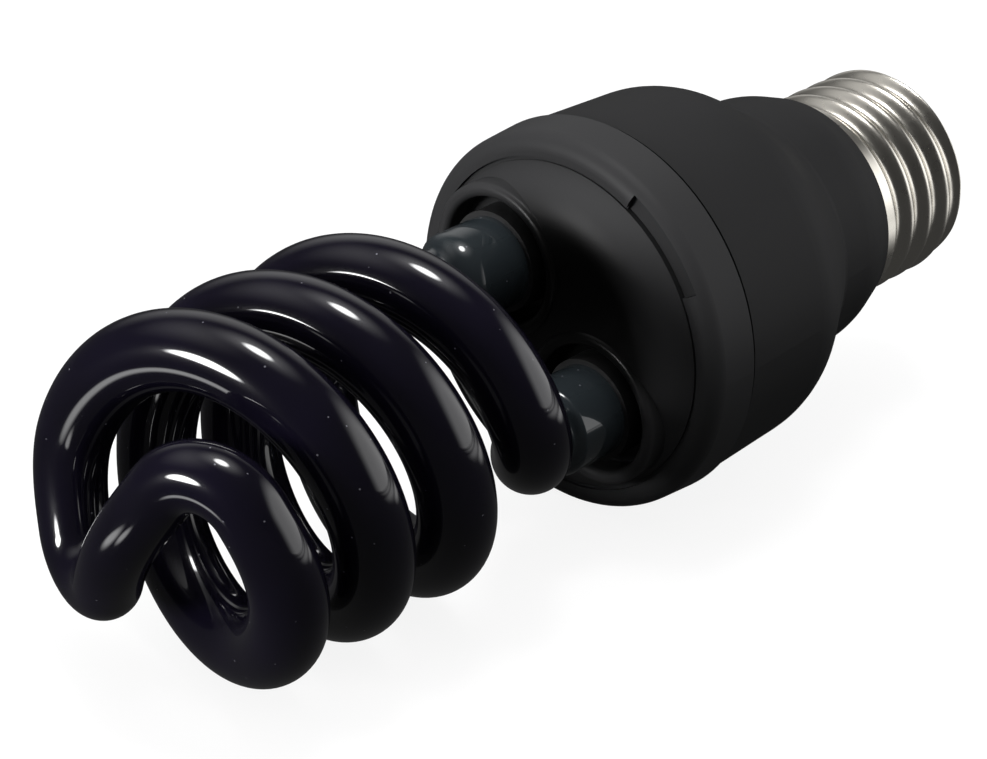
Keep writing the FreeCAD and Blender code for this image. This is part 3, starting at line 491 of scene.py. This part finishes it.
copper, tree, surface, place = new_finish("enamelled_copper_wire")
patch = add(tree, "ShaderNodeTexNoise", {"Vector": place, "Scale": per_metre(0.5), "Detail": 2.0})
enamel = {"Factor": patch.outputs["Fac"], "A": linear("#b06a3c"), "B": linear("#c98352")}
shade = add(tree, "ShaderNodeMix", enamel, data_type="RGBA")
tree.links.new(shade.outputs["Result"], surface.inputs["Base Color"])
surface.inputs["Roughness"].default_value = 0.3
surface.inputs["Metallic"].default_value = 1
dress(copper, "choke_winding", *(f"drive_winding_{number}" for number in range(1, 4)))

# Leads: tinned copper wire, from the tube's ends to the board and from the board to the cap.
# Drawn wire with a bright tin skin, dulled in patches of about a millimetre.

tinned_wire, tree, surface, place = new_finish("tinned_copper_wire")
patch = add(tree, "ShaderNodeTexNoise", {"Vector": place, "Scale": per_metre(1), "Detail": 2.0})
dull = add(tree, "ShaderNodeMapRange", {"Value": patch.outputs["Fac"], "To Min": 0.2, "To Max": 0.4})
tin = {"Factor": patch.outputs["Fac"], "A": linear("#c6c6c4"), "B": linear("#d4d3d0")}
shade = add(tree, "ShaderNodeMix", tin, data_type="RGBA")
tree.links.new(shade.outputs["Result"], surface.inputs["Base Color"])
tree.links.new(dull.outputs["Result"], surface.inputs["Roughness"])
surface.inputs["Metallic"].default_value = 1
dress(tinned_wire, *(f"tube_lead_{number}" for number in range(1, 5)))
dress(tinned_wire, "contact_lead_upper", "contact_lead_lower", "shell_lead")

# Floor: one sheet of plain white paper. The camera sees it white, and it keeps the lamp's shadow.
# Glass and nickel mirror it as a dim glow of painted shade, with brighter pools of painted light: two small
# ones beside the coil, and four that widen into a path toward the softbox on the right.

self_lit = 0.88
painted_paper_shade = 0.05
# Pools of painted light on the paper, seen only in mirrors: middle x and y in metres, inner and outer radius,
# strength.
painted_light_pools = (
    (-0.104, 0.02, 0.004, 0.014, 4.0),
    (-0.097, 0.002, 0.002, 0.007, 4.0),
    (0.115, -0.065, 0.01, 0.055, 1.3),
    (0.22, -0.19, 0.03, 0.17, 1.3),
    (0.5, -0.45, 0.05, 0.38, 1.3),
    (1.3, -1.1, 0.2, 1.1, 1.4),
)
bpy.ops.mesh.primitive_plane_add(size=4, location=(0, 0, 0))
floor = bpy.context.object
floor.name = "floor"
paper, tree, surface, place = new_finish("white_paper")
surface.inputs["Base Color"].default_value = linear("#fafafa")
surface.inputs["Roughness"].default_value = 0.9
surface.inputs["Specular IOR Level"].default_value = 0
rays = add(tree, "ShaderNodeLightPath")
white = add(tree, "ShaderNodeEmission", {"Color": linear("#ffffff"), "Strength": 1.0})
sheet = {0: self_lit, 1: surface.outputs["BSDF"], 2: white.outputs["Emission"]}
white_sheet = add(tree, "ShaderNodeMixShader", sheet)
mirrored = {0: rays.outputs["Is Glossy Ray"], 1: rays.outputs["Is Transmission Ray"]}
in_mirror = add(tree, "ShaderNodeMath", mirrored, use_clamp=True)
level = painted_paper_shade
for x, y, inner, outer, strength in painted_light_pools:
    away = add(tree, "ShaderNodeVectorMath", {0: place, 1: (x, y, 0)}, operation="DISTANCE").outputs["Value"]
    fall_off = {"Value": away, "From Min": inner, "From Max": outer, "To Min": strength, "To Max": 0.0}
    painted_light_pool = add(tree, "ShaderNodeMapRange", fall_off, interpolation_type="SMOOTHSTEP")
    summed = {0: painted_light_pool.outputs["Result"], 1: in_mirror.outputs["Value"], 2: level}
    level = add(tree, "ShaderNodeMath", summed, operation="MULTIPLY_ADD").outputs["Value"]
painted_paper_glow = add(tree, "ShaderNodeEmission", {"Color": linear("#ffffff"), "Strength": level})
seen = {0: rays.outputs["Is Camera Ray"], 1: painted_paper_glow.outputs["Emission"], 2: white_sheet.outputs["Shader"]}
paper_seen = add(tree, "ShaderNodeMixShader", seen)
tree.links.new(paper_seen.outputs["Shader"], tree.nodes["Material Output"].inputs["Surface"])
floor.data.materials.append(paper)

# Light: a dim studio with soft ovals of light, each fading at its edge as a softbox does.
# Matt surfaces get an even light from above as well, and the room behind is white only to the camera.

room_dim = 0.04
from_above = (0.1, 0.3, 0.95)
world = bpy.data.worlds.new("studio")
world.use_nodes = True
bpy.context.scene.world = world
tree = world.node_tree
toward = add(tree, "ShaderNodeTexCoord").outputs["Generated"]


def glow(azimuth, elevation, half_width, half_height, edge, radiance):
    """Level of a soft oval in a direction; half sizes in degrees, and the edge as a share of them."""
    turn, lift = math.radians(azimuth), math.radians(elevation)
    out = (math.cos(lift) * math.cos(turn), math.cos(lift) * math.sin(turn), math.sin(lift))
    reach = (1, math.sin(math.radians(half_width)), math.sin(math.radians(half_height)))
    facing = {"Vector": toward, "Location": out, "Rotation": (0, -lift, turn), "Scale": reach}
    local = add(tree, "ShaderNodeMapping", facing, vector_type="TEXTURE")
    oval = add(tree, "ShaderNodeTexGradient", {"Vector": local.outputs["Vector"]}, gradient_type="SPHERICAL")
    faded = {"Value": oval.outputs["Fac"], "From Max": edge, "To Max": radiance}
    return add(tree, "ShaderNodeMapRange", faded, interpolation_type="SMOOTHSTEP").outputs["Result"]


rays = add(tree, "ShaderNodeLightPath")
above = add(tree, "ShaderNodeVectorMath", {0: toward, 1: from_above}, operation="DOT_PRODUCT")
overhead = {"Value": above.outputs["Value"], "From Min": 0.1, "To Min": 0.03, "To Max": 1.83}
even = add(tree, "ShaderNodeMapRange", overhead)
on_matt = {0: rays.outputs["Is Diffuse Ray"], 1: even.outputs["Result"], 2: room_dim}
total = add(tree, "ShaderNodeMath", on_matt, operation="MULTIPLY_ADD").outputs["Value"]
for lit in (
    glow(-36, 5, 45, 40, 0.5, 1.8),  # softbox on the right
    glow(25, 83, 10, 10, 0.5, 24),  # small lamp overhead
    glow(25, 80, 30, 30, 1, 1.8),  # halo of that lamp
    glow(166, 10, 14, 9, 0.4, 45),  # narrow lamp on the left
    glow(42, 24, 55, 28, 0.8, 0.6),  # pale wall behind, on the right
    glow(119, 55, 40, 35, 1, 0.65),  # pale ceiling behind, on the left
):
    total = add(tree, "ShaderNodeMath", {0: total, 1: lit}, operation="ADD").outputs["Value"]
strength = add(tree, "ShaderNodeMix", {"Factor": rays.outputs["Is Camera Ray"], "A": total, "B": 1.0})
tree.links.new(strength.outputs["Result"], tree.nodes["Background"].inputs["Strength"])
tree.nodes["Background"].inputs["Color"].default_value = linear("#ffffff")

# Camera: a long lens above and in front of the tip, looking back along the lamp to its cap.
# It is turned a little about its line of sight, as the photograph is.

camera_data = bpy.data.cameras.new("camera")
camera_data.sensor_width = 36
camera_data.lens = 109.42
camera = bpy.data.objects.new("camera", camera_data)
camera.location = (-0.231674, -0.202422, 0.17014)
gaze = Vector((-0.010957, 0, 0.019632)) - camera.location
roll = Quaternion((0, 0, 1), math.radians(2.093))
camera.rotation_euler = (gaze.to_track_quat("-Z", "Y") @ roll).to_euler()
bpy.context.scene.collection.objects.link(camera)
bpy.context.scene.camera = camera
bpy.context.scene.view_settings.view_transform = "Standard"
